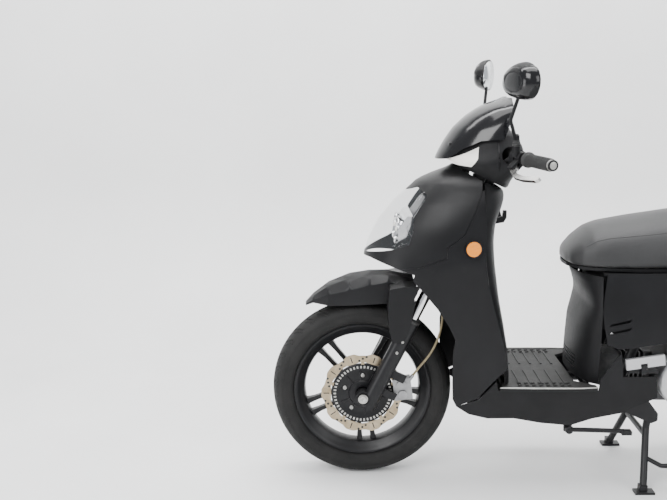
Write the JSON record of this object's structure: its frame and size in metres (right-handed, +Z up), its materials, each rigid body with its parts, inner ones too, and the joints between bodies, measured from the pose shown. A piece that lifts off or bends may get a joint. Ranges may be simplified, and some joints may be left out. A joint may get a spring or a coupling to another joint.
{
  "type": "moped scooter",
  "caption": "Step-through moped scooter with large cast wheels, telescopic fork, swinging engine unit with belt drive, hinged two-person seat and centre stand.",
  "frame": {"origin": "on the ground under the middle of the bounding box, standing on the centre stand and the front wheel", "axes": "+X forward, +Y to the rider's left, +Z up"},
  "size_m": [2, 0.7334, 1.288],
  "materials": {
    "main_frame": "black powder-coated tube",
    "head_bearings": "ground bearing steel",
    "front_cowl": "satin black painted plastic",
    "side_fairings": "satin black painted plastic",
    "leg_shield": "satin black moulded plastic",
    "floorboard": "dark grey moulded rubbery plastic",
    "lower_covers": "satin black moulded plastic",
    "seat_front_cover": "satin black moulded plastic",
    "side_panels": "satin black painted plastic",
    "tail_lamp": "red lens",
    "plate_bracket": "satin black moulded plastic",
    "grab_rail": "black coated cast aluminium",
    "helmet_box": "satin black moulded plastic",
    "fuel_tank": "satin black moulded plastic",
    "headlamp_lens": "clear lens",
    "headlamp_reflector": "metallised plastic reflector",
    "side_reflectors": "amber reflector",
    "steering_stem": "black steel",
    "fork_stanchions": "hard chrome",
    "handlebar": "black steel tube",
    "bar_cover_front": "matt black plastic",
    "bar_cover_rear": "satin black moulded plastic",
    "visor": "gloss black tinted screen",
    "turn_lamps": "clear lens with amber tint",
    "hand_controls": "satin black moulded plastic",
    "left_grip": "ribbed rubber",
    "fork_lowers": "black painted cast aluminium",
    "front_axle": "zinc-plated steel",
    "front_fender": "satin black painted plastic",
    "front_caliper": "bare cast aluminium",
    "front_brake_hose": "olive hose",
    "front_tyre": "tyre rubber",
    "front_rim": "black painted cast alloy",
    "front_disc": "brake disc steel",
    "engine_case": "cast aluminium",
    "cvt_cover": "silver cast cover",
    "air_filter_box": "satin black moulded plastic",
    "exhaust": "heat-proof black paint",
    "drive_belt": "belt rubber",
    "drive_pulley": "machined steel",
    "driven_pulley": "machined steel",
    "rear_tyre": "tyre rubber",
    "rear_rim": "black painted cast alloy",
    "rear_disc": "brake disc and shaft steel",
    "centre_stand": "black painted steel",
    "side_stand": "black painted steel",
    "seat_base": "satin black moulded plastic",
    "seat_cushion": "black textured vinyl cover over foam",
    "throttle_grip": "ribbed rubber",
    "brake_lever_left": "polished aluminium",
    "brake_lever_right": "polished aluminium",
    "mirror_left": "satin black moulded plastic",
    "mirror_right": "satin black moulded plastic",
    "peg_left": "bare aluminium",
    "peg_right": "bare aluminium",
    "shock_uppers": "black painted steel",
    "shock_lowers": "chromed rod and eye",
    "shock_springs": "black painted spring steel",
    "starter_button": "satin black moulded plastic",
    "horn_button": "satin black moulded plastic"
  },
  "bodies": {
    "chassis": {"main_frame": "main_frame", "head_bearings": "head_bearings", "front_cowl": "front_cowl", "side_fairings": "side_fairings", "leg_shield": "leg_shield", "floorboard": "floorboard", "lower_covers": "lower_covers", "seat_front_cover": "seat_front_cover", "side_panels": "side_panels", "tail_lamp": "tail_lamp", "plate_bracket": "plate_bracket", "grab_rail": "grab_rail", "helmet_box": "helmet_box", "fuel_tank": "fuel_tank", "headlamp_lens": "headlamp_lens", "headlamp_reflector": "headlamp_reflector", "side_reflectors": "side_reflectors"},
    "steering": {"steering_stem": "steering_stem", "fork_stanchions": "fork_stanchions", "handlebar": "handlebar", "bar_cover_front": "bar_cover_front", "bar_cover_rear": "bar_cover_rear", "visor": "visor", "turn_lamps": "turn_lamps", "hand_controls": "hand_controls", "left_grip": "left_grip"},
    "fork_lower": {"fork_lowers": "fork_lowers", "front_axle": "front_axle", "front_fender": "front_fender", "front_caliper": "front_caliper", "front_brake_hose": "front_brake_hose"},
    "front_wheel": {"front_tyre": "front_tyre", "front_rim": "front_rim", "front_disc": "front_disc"},
    "engine_unit": {"engine_case": "engine_case", "cvt_cover": "cvt_cover", "air_filter_box": "air_filter_box", "exhaust": "exhaust", "drive_belt": "drive_belt"},
    "drive_pulley": {"drive_pulley": "drive_pulley"},
    "driven_pulley": {"driven_pulley": "driven_pulley"},
    "rear_wheel": {"rear_tyre": "rear_tyre", "rear_rim": "rear_rim", "rear_disc": "rear_disc"},
    "centre_stand": {"centre_stand": "centre_stand"},
    "side_stand": {"side_stand": "side_stand"},
    "seat": {"seat_base": "seat_base", "seat_cushion": "seat_cushion"},
    "throttle": {"throttle_grip": "throttle_grip"},
    "brake_lever_left": {"brake_lever_left": "brake_lever_left"},
    "brake_lever_right": {"brake_lever_right": "brake_lever_right"},
    "mirror_left": {"mirror_left": "mirror_left"},
    "mirror_right": {"mirror_right": "mirror_right"},
    "peg_left": {"peg_left": "peg_left"},
    "peg_right": {"peg_right": "peg_right"},
    "shock_upper": {"shock_uppers": "shock_uppers"},
    "shock_lower": {"shock_lowers": "shock_lowers", "shock_springs": "shock_springs"},
    "starter_button": {"starter_button": "starter_button"},
    "horn_button": {"horn_button": "horn_button"}
  },
  "joints": [
    {"name": "steering", "type": "hinge", "parent": "chassis", "child": "steering", "pos_m": [0.44868, 0, 0.70397], "axis": [-0.4384, 0, 0.8988], "range_deg": [-20, 20]},
    {"name": "fork_slide", "type": "slide", "parent": "steering", "child": "fork_lower", "axis": [-0.4384, 0, 0.8988], "range_m": [0, 0.035], "stiffness_N_per_m": 12000, "springref_m": -0.02, "deforming": ["front_brake_hose"]},
    {"name": "front_wheel_spin", "type": "hinge", "parent": "fork_lower", "child": "front_wheel", "pos_m": [0.72, 0, 0.28], "axis": [0, 1, 0], "continuous": true},
    {"name": "swing_unit", "type": "hinge", "parent": "chassis", "child": "engine_unit", "pos_m": [-0.12, 0, 0.268], "axis": [0, 1, 0], "range_deg": [0, 7.5], "stiffness_Nm_per_rad": 900},
    {"name": "rear_wheel_spin", "type": "hinge", "parent": "engine_unit", "child": "rear_wheel", "pos_m": [-0.63, 0, 0.292], "axis": [0, 1, 0], "continuous": true},
    {"name": "drive_pulley_spin", "type": "hinge", "parent": "engine_unit", "child": "drive_pulley", "pos_m": [-0.255, 0, 0.345], "axis": [0, 1, 0], "continuous": true},
    {"name": "driven_pulley_spin", "type": "hinge", "parent": "engine_unit", "child": "driven_pulley", "pos_m": [-0.54, 0, 0.33], "axis": [0, 1, 0], "continuous": true},
    {"name": "shock_pivot", "type": "hinge", "parent": "chassis", "child": "shock_upper", "pos_m": [-0.6, 0, 0.622], "axis": [0, 1, 0], "range_deg": [0, 0.959]},
    {"name": "shock_slide", "type": "slide", "parent": "shock_upper", "child": "shock_lower", "axis": [0.2209, 0, 0.9753], "range_m": [0, 0.0737], "deforming": ["shock_springs"]},
    {"name": "centre_stand_fold", "type": "hinge", "parent": "chassis", "child": "centre_stand", "pos_m": [-0.165, 0, 0.215], "axis": [0, 1, 0], "range_deg": [0, 84]},
    {"name": "side_stand_fold", "type": "hinge", "parent": "chassis", "child": "side_stand", "pos_m": [0.092, 0.136, 0.188], "axis": [0.259, -0.9659, 0], "range_deg": [0, 97]},
    {"name": "seat_tilt", "type": "hinge", "parent": "chassis", "child": "seat", "pos_m": [0.062, 0, 0.676], "axis": [0, 1, 0], "range_deg": [0, 50]},
    {"name": "throttle_turn", "type": "hinge", "parent": "steering", "child": "throttle", "pos_m": [0.238, -0.345, 1.022], "axis": [0.284, 0.9588, 0], "range_deg": [0, 75], "stiffness_Nm_per_rad": 0.3},
    {"name": "brake_lever_left_pull", "type": "hinge", "parent": "steering", "child": "brake_lever_left", "pos_m": [0.30606, 0.20142, 0.99841], "axis": [0.6654, 0.1971, 0.72], "range_deg": [0, 9], "stiffness_Nm_per_rad": 2, "springref_deg": -5.73},
    {"name": "brake_lever_right_pull", "type": "hinge", "parent": "steering", "child": "brake_lever_right", "pos_m": [0.30606, -0.20142, 0.99841], "axis": [-0.6654, 0.1971, -0.72], "range_deg": [0, 9], "stiffness_Nm_per_rad": 2, "springref_deg": -5.73},
    {"name": "mirror_left_turn", "type": "hinge", "parent": "steering", "child": "mirror_left", "pos_m": [0.3, 0.19, 1.04], "axis": [0, 0, 1], "range_deg": [-30, 30]},
    {"name": "mirror_right_turn", "type": "hinge", "parent": "steering", "child": "mirror_right", "pos_m": [0.3, -0.19, 1.04], "axis": [0, 0, 1], "range_deg": [-30, 30]},
    {"name": "peg_left_fold", "type": "hinge", "parent": "chassis", "child": "peg_left", "pos_m": [-0.048, 0.186, 0.402], "axis": [-0.9888, 0, 0.149], "range_deg": [0, 88]},
    {"name": "peg_right_fold", "type": "hinge", "parent": "chassis", "child": "peg_right", "pos_m": [-0.048, -0.186, 0.402], "axis": [0.9888, 0, -0.149], "range_deg": [0, 88]},
    {"name": "starter_button_press", "type": "slide", "parent": "steering", "child": "starter_button", "axis": [0.9588, -0.284, 0], "range_m": [0, 0.003], "stiffness_N_per_m": 400, "springref_m": -0.002},
    {"name": "horn_button_press", "type": "slide", "parent": "steering", "child": "horn_button", "axis": [0.9588, 0.284, 0], "range_m": [0, 0.003], "stiffness_N_per_m": 400, "springref_m": -0.002}
  ],
  "couplings": [
    {"joint": "driven_pulley_spin", "follows": "drive_pulley_spin", "ratio": 0.77358},
    {"joint": "shock_pivot", "follows": "swing_unit", "ratio": 0.086179},
    {"joint": "shock_slide", "follows": "swing_unit", "m_per_rad": 0.54827}
  ]
}
